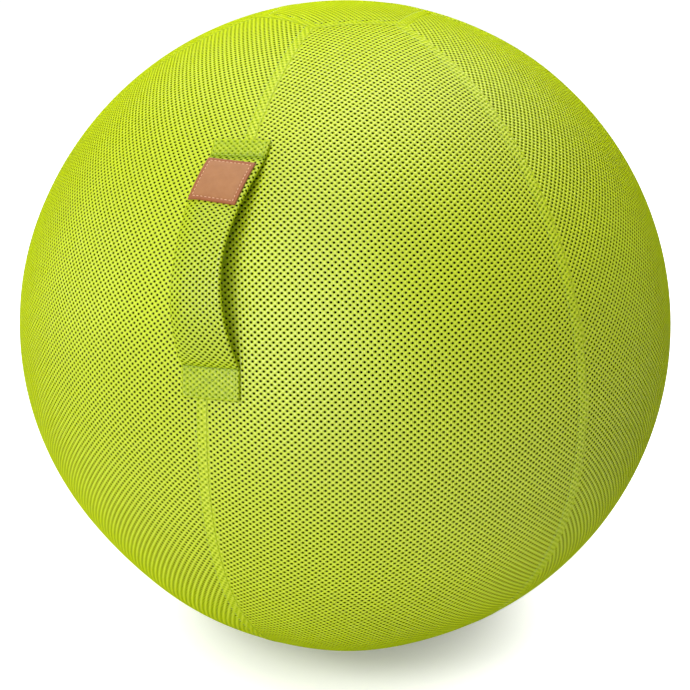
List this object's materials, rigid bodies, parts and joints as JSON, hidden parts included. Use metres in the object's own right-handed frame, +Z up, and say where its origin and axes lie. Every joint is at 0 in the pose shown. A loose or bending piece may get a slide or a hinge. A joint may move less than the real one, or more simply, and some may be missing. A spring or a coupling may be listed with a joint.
{
  "type": "exercise ball",
  "caption": "Inflatable sitting ball in a sewn mesh cover of six side panels and two hexagons, with a carrying strap and a zip.",
  "frame": {"origin": "middle of the flat patch on the floor that the ball rests on", "axes": "+Z up; -Y from the ball's axis towards the seam that carries the handle; +X to the right of the handle"},
  "size_m": [0.6498, 0.6537, 0.6469],
  "materials": {
    "mesh_fabric": "knitted spacer mesh, matte",
    "bladder_pvc": "satin",
    "valve_plastic": "satin",
    "zip_tape": "woven tape",
    "zip_plastic": "satin",
    "zip_metal": "die-cast, satin",
    "label_leather": "smooth leather"
  },
  "bodies": {
    "ball": {"inner_ball": "bladder_pvc", "valve_seat": "valve_plastic", "valve_plug": "valve_plastic", "cover_gore_1": "mesh_fabric", "cover_gore_2": "mesh_fabric", "cover_gore_3": "mesh_fabric", "cover_gore_4": "mesh_fabric", "cover_gore_5": "mesh_fabric", "cover_gore_6": "mesh_fabric", "cover_top": "mesh_fabric", "cover_base": "mesh_fabric", "zip_tape_left": "zip_tape", "zip_tape_right": "zip_tape", "zip_teeth_left": "zip_plastic", "zip_teeth_right": "zip_plastic", "zip_lower_stop": "zip_metal", "zip_upper_stop": "zip_metal", "handle_upper_end": "mesh_fabric", "handle_lower_end": "mesh_fabric", "handle_label": "label_leather"},
    "handle": {"handle_grip": "mesh_fabric"},
    "slider": {"zip_slider": "zip_metal"},
    "pull": {"zip_pull": "zip_metal"}
  },
  "joints": [
    {"name": "handle_swing", "type": "hinge", "parent": "ball", "child": "handle", "pos_m": [-0.00249, -0.27797, 0.47262], "axis": [-0.061, 0.4763, 0.8772], "range_deg": [-25, 25], "stiffness_Nm_per_rad": 0.4},
    {"name": "zip_slide", "type": "hinge", "parent": "ball", "child": "slider", "pos_m": [0, 0, 0.32187], "axis": [1, 0, 0], "range_deg": [0, 40.6]},
    {"name": "pull_swing", "type": "hinge", "parent": "slider", "child": "pull", "pos_m": [0, 0.22079, 0.07795], "axis": [1, 0, 0], "range_deg": [-45, 125]}
  ]
}
